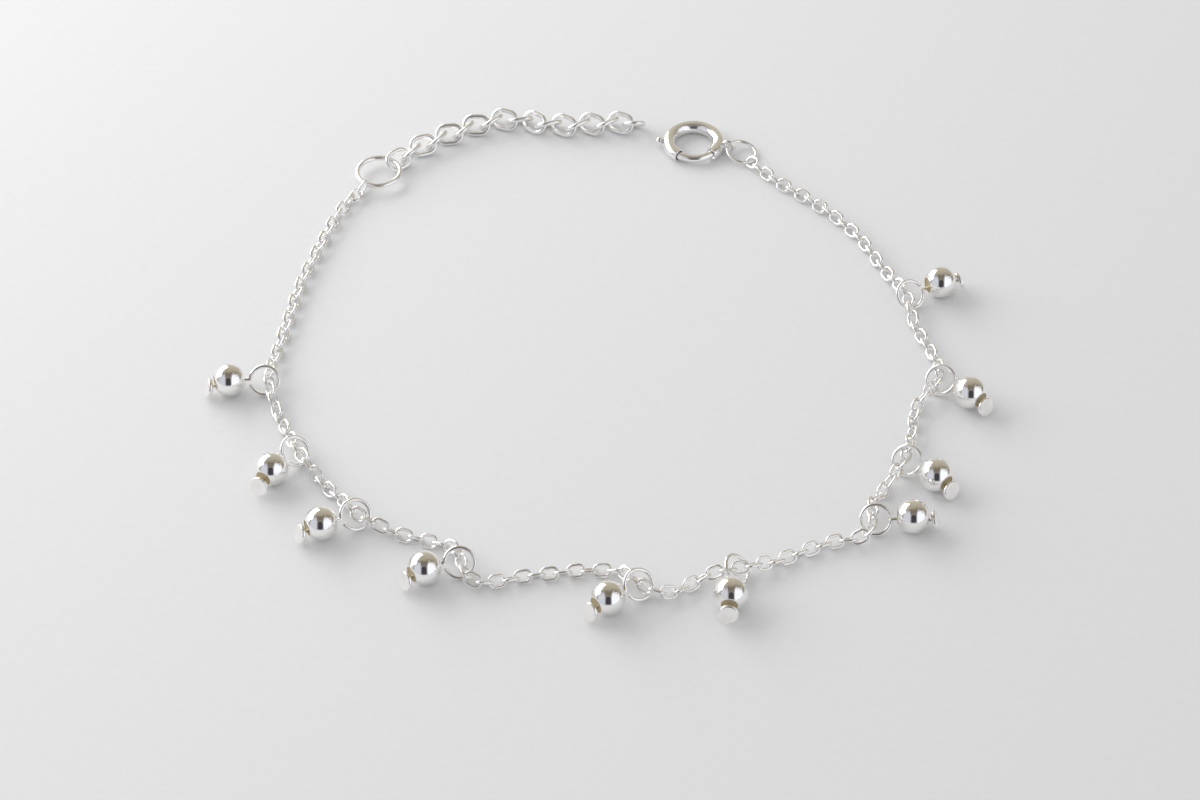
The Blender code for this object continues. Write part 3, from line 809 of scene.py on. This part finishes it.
def make_extender():
    oval = oval_points(LINK_LENGTH - LINK_WIRE, LINK_WIDTH - LINK_WIRE, LINK_ARC_STEPS)
    contacts = extender_contacts()
    rise = Vector((0.0, 0.0, link_height()))
    roll = LINK_ROLL
    for number, (a, b) in enumerate(zip(contacts, contacts[1:]), 1):
        place = link_matrix(a + rise, b + rise, roll)
        shape = bmesh.new()
        seam = 0 if number % SEAM_TURN else len(oval) // 2
        points = [place @ p for p in seamed(oval, seam)]
        add_tube(shape, points, LINK_WIRE / 2, WIRE_SIDES, cap=SEAM_CAP)
        node_name = f"extender_link_{number:02d}"
        piece(f"oval_link_{number:02d}", shape, LINK_SILVER, "bracelet", [node_name])
        roll = -roll
    radius = (LAST_RING_DIAMETER - LINK_WIRE) / 2
    ahead = (contacts[-1] - contacts[-3]).normalized()
    overlap = (LINK_WIRE + LINK_SLACK) / 2
    height = radius * math.sin(math.radians(LINK_ROLL)) + LINK_WIRE / 2
    place = contacts[-1] + ahead * (radius - overlap) + Vector((0.0, 0.0, height))
    turned = link_matrix(place - ahead * MM, place + ahead * MM, roll)
    shape = bmesh.new()
    ring = [turned @ p for p in arc_points(radius, 0.0, 360.0, RING_STEPS)[:-1]]
    add_tube(shape, seamed(ring, LAST_RING_SEAM), LINK_WIRE / 2, WIRE_SIDES, cap=SEAM_CAP)
    piece("last_ring", shape, LINK_SILVER, "bracelet", ["extender_last_ring"])


def make_jump_ring():
    radius = (JUMP_DIAMETER - JUMP_WIRE) / 2
    place = jump_ring_matrix()
    ring = [place @ p for p in arc_points(radius, 0.0, 360.0, RING_STEPS)[:-1]]
    shape = bmesh.new()
    add_tube(shape, seamed(ring, JUMP_SEAM), JUMP_WIRE / 2, WIRE_SIDES, cap=SEAM_CAP)
    piece("jump_ring", shape, LINK_SILVER, "bracelet", ["clasp_jump_ring"])


# Clasp

def scratch_object(name, shape):
    """A mesh that only takes part in a Boolean while the clasp is made."""
    mesh = bpy.data.meshes.new(name)
    bmesh.ops.recalc_face_normals(shape, faces=shape.faces)
    shape.to_mesh(mesh)
    shape.free()
    obj = bpy.data.objects.new(name, mesh)
    bpy.context.scene.collection.objects.link(obj)
    return obj


def tube_object(name, points, radius, sides, cap=0.0, closed=False):
    shape = bmesh.new()
    add_tube(shape, points, radius, sides, closed=closed, cap=cap)
    return scratch_object(name, shape)


def combine(base, operations):
    """Applies Booleans to a scratch object and gives back its mesh as a bmesh."""
    for tool, operation in operations:
        modifier = base.modifiers.new(tool.name, "BOOLEAN")
        modifier.operation = operation
        modifier.object = tool
    bpy.context.view_layer.update()
    mesh = bpy.data.meshes.new_from_object(base.evaluated_get(bpy.context.evaluated_depsgraph_get()))
    shape = bmesh.new()
    shape.from_mesh(mesh)
    for obj in [base] + [tool for tool, _ in operations]:
        bpy.data.objects.remove(obj)
    return shape


def sphere_object(name, sides, rows, radius, matrix):
    shape = bmesh.new()
    bmesh.ops.create_uvsphere(shape, u_segments=sides, v_segments=rows, radius=radius, matrix=matrix)
    return scratch_object(name, shape)


def clasp_centre():
    """The middle of the clasp's ring, as high as in the solids, where the ring rests on a facet."""
    rise = CLASP_TUBE / 2 * math.cos(math.pi / CLASP_FACETS)
    return Matrix.Translation(on_table(*CLASP_PLACE, rise))


def clasp_arc(name, arc, radius, sides, cap=0.0):
    steps = max(2, round(abs(arc[1] - arc[0]) * CLASP_STEPS / 360.0))
    points = [clasp_centre() @ p for p in arc_points(CLASP_RADIUS, *arc, steps)]
    return tube_object(name, points, radius, sides, cap)


def slot_object():
    """The cutter of the slot in the ring's outer side that the knob travels along."""
    centre = clasp_centre()
    width = KNOB_STEM + 2 * SLOT_CLEARANCE
    margin = math.degrees((width / 2) / CLASP_RADIUS)
    arc = (KNOB_ANGLE - TONGUE_TRAVEL - margin, KNOB_ANGLE + margin)
    shape = bmesh.new()
    inner = [centre @ p for p in arc_points(CLASP_RADIUS, *arc, SLOT_STEPS)]
    outer = [centre @ p for p in arc_points(CLASP_RADIUS + CLASP_TUBE, *arc, SLOT_STEPS)]
    half = Vector((0.0, 0.0, width / 2))
    rows = [[shape.verts.new(p + lift) for p in line]
            for line, lift in ((inner, -half), (outer, -half), (outer, half), (inner, half))]
    for a, b in zip(rows, rows[1:] + rows[:1]):
        for k in range(SLOT_STEPS):
            shape.faces.new((a[k], a[k + 1], b[k + 1], b[k]))
    for k in (0, SLOT_STEPS):
        shape.faces.new([row[k] for row in rows])
    return scratch_object("slot", shape)


def loop_object():
    """The upright loop that the jump ring passes through."""
    radius = (LOOP_DIAMETER - LOOP_WIRE) / 2
    upright = Matrix.Rotation(math.radians(LOOP_ANGLE), 4, "Z") @ Matrix.Rotation(math.pi / 2, 4, "X")
    ring = Matrix.Translation(loop_place()) @ upright
    points = [ring @ p for p in arc_points(radius, 0.0, 360.0, LOOP_STEPS)[:-1]]
    return tube_object("loop", points, LOOP_WIRE / 2, WIRE_SIDES, closed=True)


def solder_object():
    """The drop of solder between the ring and its loop."""
    seat = on_table(*CLASP_PLACE, LOOP_HEIGHT)
    seat += around(LOOP_ANGLE, CLASP_RADIUS + CLASP_TUBE / 2 - SOLDER_SINK)
    squash = Matrix.Diagonal((SOLDER_REACH, SOLDER_REACH, SOLDER_RISE, 1.0))
    return sphere_object("solder", SOLDER_SIDES, SOLDER_ROWS, 1.0, Matrix.Translation(seat) @ squash)


def make_spring_ring():
    shell = clasp_arc("shell", SHELL_ARC, CLASP_TUBE / 2, CLASP_SIDES, SHELL_CAP)
    operations = [
        (clasp_arc("bore", BORE_ARC, CLASP_BORE / 2, BORE_SIDES), "DIFFERENCE"),
        (clasp_arc("socket", SOCKET_ARC, CLASP_BORE / 2, BORE_SIDES), "DIFFERENCE"),
        (slot_object(), "DIFFERENCE"),
        (solder_object(), "UNION"),
        (loop_object(), "UNION"),
    ]
    shape = combine(shell, operations)
    piece("spring_ring", shape, CLASP_SILVER, "bracelet", ["clasp_ring"])


def make_trigger():
    """The tongue, whose domed ends lie within its arc, with the stem and the knob on its outer side."""
    centre = clasp_centre()
    domed = math.degrees(TONGUE_CAP * TONGUE_DIAMETER / 2 / CLASP_RADIUS)
    arc = (TONGUE_ARC[0] + domed, TONGUE_ARC[1] - domed)
    tongue = clasp_arc("tongue", arc, TONGUE_DIAMETER / 2, BORE_SIDES, TONGUE_CAP)
    reach = CLASP_TUBE / 2 + KNOB_REACH
    line = [centre @ around(KNOB_ANGLE, CLASP_RADIUS + reach * k / STEM_STEPS)
            for k in range(STEM_STEPS + 1)]
    stem = tube_object("stem", line, KNOB_STEM / 2, STEM_SIDES)
    tip = Matrix.Translation(line[-1])
    knob = sphere_object("knob", KNOB_SIDES, KNOB_ROWS, KNOB_DIAMETER / 2, tip)
    shape = combine(tongue, [(stem, "UNION"), (knob, "UNION")])
    piece("thumb_trigger", shape, TRIGGER_SILVER, "trigger", ["clasp_trigger"])


# Floor, light and camera

def floor_material():
    material = bpy.data.materials.new("Pale floor")
    material.use_nodes = True
    tree = material.node_tree
    shader = tree.nodes["Principled BSDF"]
    shader.inputs["Roughness"].default_value = FLOOR_ROUGHNESS
    place = node(tree, "ShaderNodeTexCoord")
    grain = node(tree, "ShaderNodeTexNoise", Scale=FLOOR_GRAIN, Detail=3.0)
    tone = node(tree, "ShaderNodeMapRange")
    tone.inputs["To Min"].default_value, tone.inputs["To Max"].default_value = FLOOR_TONES
    colour = node(tree, "ShaderNodeCombineColor")
    bump = node(tree, "ShaderNodeBump", Strength=0.06, Distance=FLOOR_BUMP)
    link = tree.links.new
    link(place.outputs["Object"], grain.inputs["Vector"])
    link(grain.outputs["Fac"], tone.inputs["Value"])
    for channel in ("Red", "Green", "Blue"):
        link(tone.outputs["Result"], colour.inputs[channel])
    link(colour.outputs["Color"], shader.inputs["Base Color"])
    link(grain.outputs["Fac"], bump.inputs["Height"])
    link(bump.outputs["Normal"], shader.inputs["Normal"])
    return material


def make_floor():
    shape = bmesh.new()
    bmesh.ops.create_grid(shape, x_segments=1, y_segments=1, size=FLOOR_REACH)
    mesh = bpy.data.meshes.new("floor")
    shape.to_mesh(mesh)
    shape.free()
    mesh.materials.append(floor_material())
    floor = bpy.data.objects.new("floor", mesh)
    floor.location.z = -FLOOR_DROP
    bpy.context.scene.collection.objects.link(floor)


def seen_towards(azimuth, elevation, distance):
    """A place at a direction from the bracelet, azimuth 0 to the back and 90 to the right."""
    a, e = math.radians(azimuth), math.radians(elevation)
    return Vector((math.sin(a) * math.cos(e), math.cos(a) * math.cos(e), math.sin(e))) * distance


def sky_math(tree, operation, first, second):
    """A math node of the mirrored surroundings, each of whose inputs is a socket or a number."""
    made = node(tree, "ShaderNodeMath", operation=operation)
    for socket, value in zip(made.inputs, (first, second)):
        if isinstance(value, (int, float)):
            socket.default_value = value
        else:
            tree.links.new(value, socket)
    return made.outputs[0]


def sky_blend(tree, value, low, high, start=0.0, stop=1.0):
    """A smooth step from start to stop while the value goes from low to high."""
    made = node(tree, "ShaderNodeMapRange", interpolation_type="SMOOTHSTEP")
    made.inputs["From Min"].default_value = low
    made.inputs["From Max"].default_value = high
    made.inputs["To Min"].default_value = start
    made.inputs["To Max"].default_value = stop
    tree.links.new(value, made.inputs["Value"])
    return made.outputs["Result"]


def sky_mix(tree, share, first, second):
    """A mix of two colours, each a socket or three numbers, by the share of the second."""
    made = node(tree, "ShaderNodeMix", data_type="RGBA")
    for index, value in ((0, share), (6, first), (7, second)):
        if isinstance(value, tuple):
            made.inputs[index].default_value = (*value, 1.0)
        else:
            tree.links.new(value, made.inputs[index])
    return made.outputs[2]


# Tones and forms of what the silver mirrors
WALL_LOW = (0.66, 0.62, 0.52)
WALL_MIDDLE = (0.49, 0.445, 0.35)
WALL_HIGH = (0.4, 0.355, 0.27)
WALL_RIGHT = (0.37, 0.325, 0.25)
WALL_LEFT = (0.9, 0.9, 0.86)
WALL_EDGE = (0.09, 0.07, 0.055)
PANE_LEFT = (0.62, 0.63, 0.69)
PANE_RIGHT = (0.98, 1.0, 1.06)
BETWEEN_LOW = (0.36, 0.355, 0.37)
BETWEEN_HIGH = (0.2, 0.18, 0.16)
PATCH_TONE = (0.055, 0.05, 0.06)
PATCH_HALF_WIDTH = 0.3
PATCH_HALF_HEIGHT = 0.44
PATCH_DROP = 0.24
ARCH_SLOPE = 0.45
EDGE_RAGGEDNESS = 2.2


def mirrored_room(tree):
    """A brown wall behind with a ragged lower edge, and two bright panes and a dark shape in front."""
    place = node(tree, "ShaderNodeTexCoord").outputs["Generated"]
    parts = node(tree, "ShaderNodeSeparateXYZ")
    tree.links.new(place, parts.inputs["Vector"])
    x, y, z = (parts.outputs[axis] for axis in "XYZ")
    speckle = node(tree, "ShaderNodeTexNoise", Scale=11.0, Detail=4.0, Roughness=0.8)
    tree.links.new(place, speckle.inputs["Vector"])
    middling = sky_math(tree, "SUBTRACT", speckle.outputs["Fac"], 0.5)
    ragged = sky_math(tree, "MULTIPLY", middling, EDGE_RAGGEDNESS)
    side = sky_math(tree, "ABSOLUTE", x, 0.0)

    # A ragged arch, where the wall ends and the front begins
    arch = sky_math(tree, "SUBTRACT", y, sky_math(tree, "MULTIPLY", side, ARCH_SLOPE))
    arch = sky_math(tree, "ADD", arch, sky_blend(tree, x, -1.0, -0.85, 0.5, 0.0))
    arch = sky_math(tree, "ADD", arch, sky_blend(tree, x, 0.92, 1.0, 0.0, 0.2))
    edge = sky_math(tree, "ADD", arch, ragged)

    # The wall: paler below and at the left, browner above and at the right, dark along its edge
    wall = sky_mix(tree, sky_blend(tree, z, 0.0, 0.5), WALL_LOW, WALL_MIDDLE)
    wall = sky_mix(tree, sky_blend(tree, z, 0.55, 1.0), wall, WALL_HIGH)
    wall = sky_mix(tree, sky_blend(tree, x, 0.1, 0.6, 0.0, 0.5), wall, WALL_RIGHT)
    wall = sky_mix(tree, sky_blend(tree, x, -0.7, -0.3, 0.8, 0.0), wall, WALL_LEFT)
    wall = sky_mix(tree, sky_blend(tree, edge, -0.24, 0.26, 0.9, 0.0), wall, WALL_EDGE)

    # The front: a pane at each side, a dimmer stretch between them and a dark upright patch there
    glow = sky_mix(tree, sky_blend(tree, x, -0.3, 0.3), PANE_LEFT, PANE_RIGHT)
    middle = sky_mix(tree, sky_blend(tree, z, 0.7, 0.9), BETWEEN_LOW, BETWEEN_HIGH)
    front = sky_mix(tree, sky_blend(tree, side, 0.3, 0.46), middle, glow)
    rise = sky_math(tree, "MULTIPLY", sky_math(tree, "ADD", y, z), math.sqrt(0.5))
    tall = sky_math(tree, "DIVIDE", sky_math(tree, "ADD", rise, PATCH_DROP), PATCH_HALF_HEIGHT)
    wide = sky_math(tree, "DIVIDE", x, PATCH_HALF_WIDTH)
    tall, wide = (sky_math(tree, "POWER", value, 4.0) for value in (tall, wide))
    spread = sky_math(tree, "ADD", tall, wide)
    front = sky_mix(tree, sky_blend(tree, spread, 0.35, 1.5, 1.0, 0.0), front, PATCH_TONE)
    return sky_mix(tree, sky_blend(tree, edge, -0.32, -0.22), front, wall)


def make_light():
    scene = bpy.context.scene
    world = bpy.data.worlds.new("studio")
    world.use_nodes = True
    scene.world = world
    tree = world.node_tree
    plain = tree.nodes["Background"]
    plain.inputs["Color"].default_value = (*ROOM_TONE, 1.0)
    plain.inputs["Strength"].default_value = ROOM_STRENGTH
    mirrored = node(tree, "ShaderNodeBackground")
    tree.links.new(mirrored_room(tree), mirrored.inputs["Color"])
    choice = node(tree, "ShaderNodeMixShader")
    tree.links.new(node(tree, "ShaderNodeLightPath").outputs["Is Glossy Ray"], choice.inputs[0])
    tree.links.new(plain.outputs[0], choice.inputs[1])
    tree.links.new(mirrored.outputs[0], choice.inputs[2])
    tree.links.new(choice.outputs[0], tree.nodes["World Output"].inputs["Surface"])

    key = bpy.data.lights.new("key light", "AREA")
    key.shape = "RECTANGLE"
    key.size, key.size_y = KEY_SIZE
    key.energy = KEY_ENERGY
    lamp = bpy.data.objects.new("key light", key)
    scene.collection.objects.link(lamp)
    place = seen_towards(KEY_AZIMUTH, KEY_ELEVATION, KEY_DISTANCE)
    facing = (-place).to_track_quat("-Z", "Y").to_matrix().to_4x4()
    lamp.matrix_world = Matrix.Translation(place) @ facing


def make_camera():
    data = bpy.data.cameras.new("camera")
    data.lens = CAMERA_LENS
    data.sensor_width = CAMERA_SENSOR
    data.clip_start = CAMERA_NEAR
    obj = bpy.data.objects.new("camera", data)
    bpy.context.scene.collection.objects.link(obj)
    target = ROW.translation
    tilt = math.radians(CAMERA_ELEVATION)
    away = Vector((0.0, -math.cos(tilt), math.sin(tilt))) * CAMERA_DISTANCE
    facing = (-away).to_track_quat("-Z", "Y").to_matrix().to_4x4()
    obj.matrix_world = Matrix.Translation(target + away) @ facing
    bpy.context.scene.camera = obj


bpy.context.scene.view_settings.view_transform = "Standard"
make_camera()
make_floor()
make_light()
make_drops()
make_main_chain()
make_end_ring()
make_extender()
make_jump_ring()
make_spring_ring()
make_trigger()
